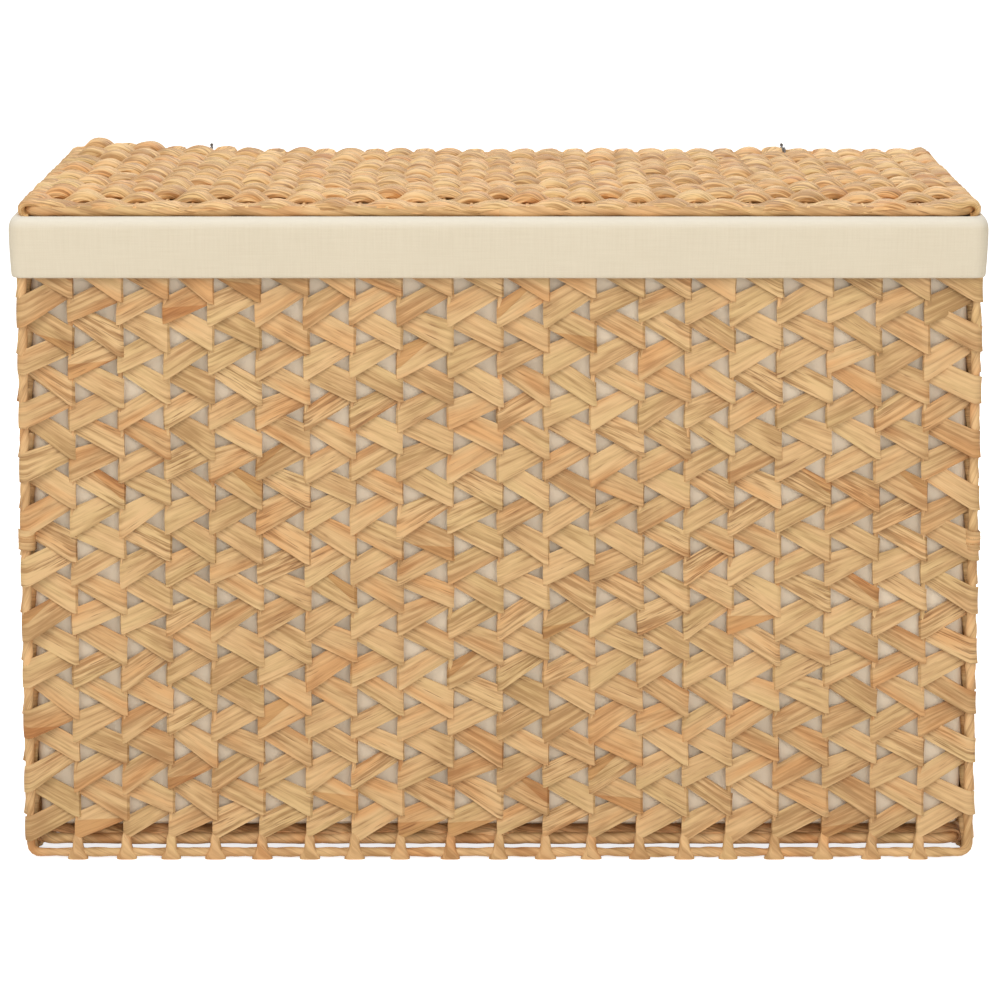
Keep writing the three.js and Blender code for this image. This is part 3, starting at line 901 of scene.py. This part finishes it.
# Hinge ties
# Two dark wires, each wound twice round the lid's back rail and the back panel's top rail, let the lid swing.
# Their ends are twisted together and stick up behind the lid.
cuff_top = frame_top + 0.0023
lid_inset = 0.0035
lid_gap = 0.0006
lid_level = cuff_top + lid_gap + rail_thickness / 2
lid_width = panel_width - 2 * lid_inset
lid_depth = basket_depth - 2 * lid_inset
hinge_line = (lid_depth - rail_thickness) / 2
hinge_place = side_plane - 3 * stake_spacing - 0.006
wire_radius = 0.0008
wire_turn = 0.0056
wire_pitch = 0.002
tail_steps = 24
tail_turns = 2.75
tail_foot = Vector((0, front_plane + 0.0062, 0.5165))
tie_places = (-hinge_place, hinge_place - 0.0045)
tail_leans = (0.0006, -0.0012)

wire_metal, wire_tree, wire_shader = new_material("dark_wire")
wire_wear = clouds(node(wire_tree, "ShaderNodeTexCoord").outputs["Object"], 900.0, 3.0)
fill(wire_shader, {
    "Base Color": mixed(wire_wear, (0.10, 0.09, 0.085, 1.0), (0.27, 0.245, 0.225, 1.0)),
    "Roughness": times_plus(wire_wear, 0.3, 0.35),
    "Metallic": 0.8,
})

tie_middle = Vector((0, (front_plane + hinge_line) / 2, (top_rail + lid_level) / 2))
tie_tilt = Matrix.Rotation(atan2(lid_level - top_rail, hinge_line - front_plane), 4, "X")
turn = stadium_loop(hypot(front_plane - hinge_line, lid_level - top_rail), wire_turn, wire_pitch)
wire_line = []
for lap in (0, 1):
    for x, y, z in turn:
        wire_line.append(tuple(tie_middle + tie_tilt @ Vector((wire_pitch + z - wire_pitch * lap, y, x))))
tails = []
wire_places = [(x, 0, 0, 0) for x in tie_places]
for x, lean in zip(tie_places, tail_leans):
    tail_tip = Vector((lean, front_plane + 0.0085, 0.5300))
    for half in (0.0, pi):
        tail = []
        for i in range(tail_steps + 1):
            t = i / tail_steps
            angle = half + 2 * tail_turns * pi * t
            swing = Vector((cos(angle), sin(angle), 0)) * wire_radius * 0.95
            tail.append(tuple(tail_foot.lerp(tail_tip, t) + swing))
        tails.append(tail)
        wire_places.append((x, 0, 0, len(tails)))
wires = tube(
    [wire_line, *tails], wire_places, wire_radius, steps=70, sides=8, across=(1, 0, 0), strips=1.0, lead=0.05,
    lumps=0.0001, seed=53.0, material=wire_metal)
piece("hinge_wires", [wires], "basket", ["hinge_tie_left", "hinge_tie_right"])


# Liner
# A bag of cream cotton sewn from four walls and a floor stands on the base. Its top is folded over the rails
# all round and hangs outside as a cuff with a plain turned hem.
bag_half_width = 0.3634
bag_half_depth = 0.1959
bag_corner = 0.009
bag_floor = 0.0268
bag_drape = 0.0014
drape_foot = 0.06
drape_top = 0.500
drape_fade = 0.05
corner_fill = 0.0034
fill_top = 0.495
fill_side = 0.335
fill_end = 0.13
fill_fade = 0.02
rim_radius = 0.0077
cuff_drop = 0.0462
cuff_slack = 0.0014
cuff_bulge = 0.0022
cuff_round = 0.0105
cuff_puff = 0.0014
cuff_wave = 0.0005
cloth_thickness = 0.0012
thread_pitch = 0.0012
hem_turn = 0.010
hem_step = 0.0012
puff_step = 0.0012
puff_steps = 4
cuff_colours = (0.67, 0.583, 0.433, 1.0), (0.735, 0.652, 0.50, 1.0)
# The bag's colour is painted light: paler than the cuff, standing in for light that comes in through the
# weave.
painted_light_bag_colour = (0.95, 0.815, 0.622, 1.0)
# A painted highlight colour for the crest of the cuff's fold.
painted_highlight_colour = (0.83, 0.78, 0.68, 1.0)


def cloth_material(name):
    """Plain-weave cotton: fine crossing threads with a few thick ones, and soft uneven tone.
    The bag is painted paler than the cuff, as painted light for the light that gets in through the weave, and
    the fold's crest carries a painted highlight."""
    material, tree, shader = new_material(name)
    uv = node(tree, "ShaderNodeUVMap", uv_map="UVMap").outputs[0]
    ways = parts(uv)
    threads = [maths("SINE", times(ways[axis], 2 * pi / thread_pitch)) for axis in (0, 1)]
    weave = times(*threads)
    stretches = (30.0, 900.0, 1.0), (900.0, 30.0, 1.0)
    slub = plus(*[clouds(vectors("MULTIPLY", uv, stretch)) for stretch in stretches])
    soft = clouds(uv, 14.0, 3.0)
    shade = times_plus(minus(slub, 1.0), 0.9, times_plus(soft, 0.5, 0.25))
    colour = mixed(times_plus(weave, 0.06, shade), *cuff_colours)
    # Below the fold the bag's walls take the paler colour, painted light for the light that gets in through
    # the weave.
    bag = ramp(ways[1], 0.481, 0.491, 1.0, 0.0)
    colour = mixed(bag, colour, painted_light_bag_colour)
    # A painted highlight along the crest of the cuff's fold, paler and whiter, for the top light that the
    # lid's overhang keeps off it.
    crest = times(ramp(ways[1], 0.5035, 0.5100, 0.65, 0.0), minus(1.0, bag))
    colour = mixed(crest, colour, painted_highlight_colour)
    height = times_plus(slub, 0.7, times(weave, 0.3))
    bump = linked("ShaderNodeBump", {"Strength": 0.35, "Distance": 0.0005, "Height": height})
    fill(shader, {
        "Base Color": colour,
        "Normal": bump.outputs[0],
        "Roughness": times_plus(slub, 0.08, 0.82),
        "Specular IOR Level": 0.2,
        "Sheen Weight": 0.12,
    })
    return material


cream_cotton = cloth_material("cream_cotton")


def bag_profile():
    """Out from the inner wall and up, along the cloth: (outward, height)."""
    rim_middle = cuff_top - cloth_thickness / 2 - rim_radius
    wall = [(0.0, z) for z in np.linspace(bag_floor, rim_middle, 26)[:-1]]
    rim_top = rim_middle + rim_radius
    crest = rim_radius + puff_steps * puff_step
    reach = 2 * rim_radius + cuff_bulge - crest
    rim = []
    for i in range(7):
        angle = pi / 2 * i / 6
        rim.append((rim_radius * (1 - cos(angle)), rim_middle + rim_radius * sin(angle)))
    for i in range(1, puff_steps + 1):
        puff = cuff_puff * (1 - cos(pi * i / puff_steps)) / 2
        rim.append((rim_radius + puff_step * i, rim_top + puff))
    for i in range(1, 9):
        angle = pi / 2 * i / 8
        rim.append((crest + reach * sin(angle), rim_top + cuff_puff - cuff_round * (1 - cos(angle))))
    hem = cuff_top - cuff_drop
    shoulder = rim_top + cuff_puff - cuff_round
    skirt = []
    for t in np.linspace(0, 1, 12)[1:]:
        bulge = cuff_bulge * (1 - 0.65 * t * t * (1.6 - 0.6 * t))
        skirt.append((2 * rim_radius + bulge, shoulder + (hem - shoulder) * t))
    inside = 2 * rim_radius - hem_step
    turned = [(inside + 0.0007, hem - 0.0002), (inside, hem + 0.003), (inside, hem + hem_turn)]
    return wall + rim + skirt + turned


def ring(half_width, half_depth, radius, corner_steps=7, run_steps=(48, 26)):
    """Points round a rounded rectangle, with their outward directions."""
    centres, outward = [], []
    x, y = half_width - radius, half_depth - radius
    middles = [(x, -y), (x, y), (-x, y), (-x, -y)]
    for quarter, middle in enumerate(middles):
        for i in range(corner_steps):
            angle = pi / 2 * (quarter - 1 + i / (corner_steps - 1))
            centres.append(middle)
            outward.append((cos(angle), sin(angle)))
        facing = (round(cos(pi / 2 * quarter)), round(sin(pi / 2 * quarter)))
        following = middles[(quarter + 1) % 4]
        steps = run_steps[(quarter + 1) % 2]
        for i in range(1, steps):
            t = i / steps
            centres.append([here + (there - here) * t for here, there in zip(middle, following)])
            outward.append(facing)
    outward = np.array(outward)
    return np.array(centres) + radius * outward, outward


def soft_wave(distance, level):
    """A gentle unevenness of hanging cloth, from -1 to 1, that joins up round the bag."""
    total = 0.0
    for waves, drift, part in ((7, 1.3, 0.45), (13, -2.1, 0.35), (23, 3.7, 0.2)):
        total = total + part * np.sin(2 * pi * waves * distance + drift * level * 9 + waves)
    return total


def share(value, start, length):
    """How far a value is along a stretch, from 0 to 1."""
    return np.clip((value - start) / length, 0, 1)


points, _ = ring(bag_half_width, bag_half_depth, bag_corner)
steps = np.linalg.norm(np.roll(points, -1, axis=0) - points, axis=1)
round_bag = np.concatenate([[0.0], np.cumsum(steps)])
profile = np.array(bag_profile())
up_bag = np.concatenate([[0.0], np.cumsum(np.linalg.norm(np.diff(profile, axis=0), axis=1))])
rows = []
for out, height in profile:
    wall = share(height, bag_floor, drape_foot) * (out < 0.0001)
    cuff = out > 1.5 * rim_radius
    wave = soft_wave(round_bag[:-1] / round_bag[-1], height)
    drape = bag_drape * share(-height, -drape_top, drape_fade) * wall + cuff_wave * cuff
    here, facing = ring(bag_half_width + out, bag_half_depth + out, bag_corner + 0.1 * out)
    flat = here + facing * (drape * wave)[:, None]
    flat[:, 0] -= cuff_slack * np.clip(flat[:, 0] / bag_half_width, 0, 1) ** 8 * cuff
    near = share(np.abs(flat[:, 1]), fill_end, 0.05) * share(np.abs(flat[:, 0]), fill_side, fill_fade)
    flat[:, 0] += np.sign(flat[:, 0]) * corner_fill * near * share(-height, -fill_top, fill_fade) * wall
    rows.append(np.column_stack([flat, np.full(len(flat), height)]))
vertices = np.concatenate(rows)


def woven_grid(columns, count, closed):
    """Quads between the rows of a grid of points, as numbers of points and as steps (column, row)."""
    quads, cells = [], []
    for j in range(count - 1):
        for i in range(columns if closed else columns - 1):
            cell = [(i, j), (i + 1, j), (i + 1, j + 1), (i, j + 1)]
            quads.append(tuple(row * columns + column % columns for column, row in cell))
            cells += cell
    return quads, cells


def cloth_piece(name, vertices, faces, corners_uv, replaced, **sheet):
    """A sheet of the liner with its thickness, riding on the basket in place of its CAD nodes."""
    data = bpy.data.meshes.new(name)
    data.from_pydata([tuple(vertex) for vertex in vertices], [], faces)
    splayed(data)
    layer = data.uv_layers.new(name="UVMap")
    layer.data.foreach_set("uv", np.array(corners_uv, dtype=np.float32).ravel())
    data.polygons.foreach_set("use_smooth", [True] * len(data.polygons))
    data.materials.append(cream_cotton)
    made = placed(name, data)
    skin = made.modifiers.new("skin", "SOLIDIFY")
    skin.thickness = cloth_thickness
    skin.offset = 0.0
    smooth = made.modifiers.new("smooth", "SUBSURF")
    smooth.levels = 1
    smooth.render_levels = 1
    declare(made, "basket", replaced)


wall_faces, wall_cells = woven_grid(len(points), len(rows), True)
wall_uv = [(round_bag[i], up_bag[j]) for i, j in wall_cells]
wall_nodes = [f"{kind}_{side}" for kind in ("liner", "cuff") for side in ("front", "back", "left", "right")]
rails_under = [side + "_rails" for side in panels]
cloth_piece("liner_walls", vertices, wall_faces, wall_uv, wall_nodes,
            flat=(float(round_bag[-1]), float(up_bag[-1])), held="folded", rests_on=rails_under)

floor_steps = (28, 16)
floor_edge = 0.001
floor_points = []
for j in range(floor_steps[1] + 1):
    for i in range(floor_steps[0] + 1):
        x = (2 * i / floor_steps[0] - 1) * (bag_half_width - floor_edge)
        y = (2 * j / floor_steps[1] - 1) * (bag_half_depth - floor_edge)
        sag = 0.0004 * sin(i * 1.9) * sin(j * 2.3)
        floor_points.append((x, y, bag_floor - 0.0003 + sag))
floor_faces, _ = woven_grid(floor_steps[0] + 1, floor_steps[1] + 1, False)
floor_uv = [floor_points[corner][:2] for quad in floor_faces for corner in quad]
cloth_piece("liner_base", floor_points, floor_faces, floor_uv, ["liner_floor"],
            flat=(2 * bag_half_width, 2 * bag_half_depth), held="laid", rests_on=["base_plait"])


# Lid
# A wrapped wire loop filled with thick plaited strands that run across it, go over and under warps and wrap
# round the side rails. The warps end in loops over the back rail, which turns in the hinge ties and hangs a
# little lower away from them.
lid_corner = 0.022
lid_middle = 0.0024
lid_sag = 0.0048
lid_dip = 0.0022
held_length = 0.018
loop_half_width = 0.0100
loop_half_height = 0.0038
loop_lift = 0.0016
lid_leaf = leaf_material(
    "lid_leaf", (0.885, 0.582, 0.278), (0.74, 0.452, 0.196), (0.505, 0.27, 0.102), contrast=1.95, edge=0.5)
lid_loop = wrapped_loop(lid_width, lid_depth, lid_corner, lid_level, loop_radius, 0.095, 61.0)
for vertex in lid_loop.vertices:
    held = exp(-((abs(vertex.co.x) - hinge_place) / held_length) ** 2)
    vertex.co.z -= lid_dip * (1 - held) * max(2 * vertex.co.y / lid_depth, 0.0)
piece("lid_rails", [lid_loop], "lid", ["lid_frame"])

lid_rail = (lid_width - rail_thickness) / 2
lid_front = -lid_depth / 2 + 0.0012
lid_back = hinge_line - rail_thickness / 2 - 0.0015
lid_plait = plait(
    lid_rail, lid_front, lid_back, lid_level, lid_middle, wave=0.0041, half_height=0.0048, fullness=0.565,
    seed=63.0, material=lid_leaf, lift=-0.0012, sag=lid_sag)
back_line = [(0, lid_back - 0.024, lid_level - 0.0005, 0.35), (0, lid_back - 0.010, lid_level + 0.001, 0.6)]
back_radius = loop_radius + 0.0013
for i in range(7):
    angle = radians(-55 + 85 * i / 6)
    y = hinge_line + back_radius * sin(angle)
    back_line.append((0, y, lid_level + back_radius * cos(angle), 0.95 - 0.05 * i))
loop_places = []
warp_count = int(lid_rail / warp_spacing)
for x in warp_spacing * np.arange(-warp_count, warp_count + 1):
    before_wire = hinge_place - abs(x)
    if abs(before_wire) > 0.006:
        lift = loop_lift if 0 < before_wire < 0.016 else 0.0
        loop_places.append((x, 0, lift - 0.6 * lid_sag * slump(x), 0))
lid_loops = grown(
    wound_tube, [back_line], loop_places, steps=16, sides=10, half_width=loop_half_width,
    half_height=loop_half_height, across=(1, 0, 0), strips=3.0, lead=0.09, relief=0.0005, lumps=0.0012,
    seed=67.0, material=lid_leaf)
piece("lid_plait", [*lid_plait, lid_loops], "lid", ["lid_mat"])
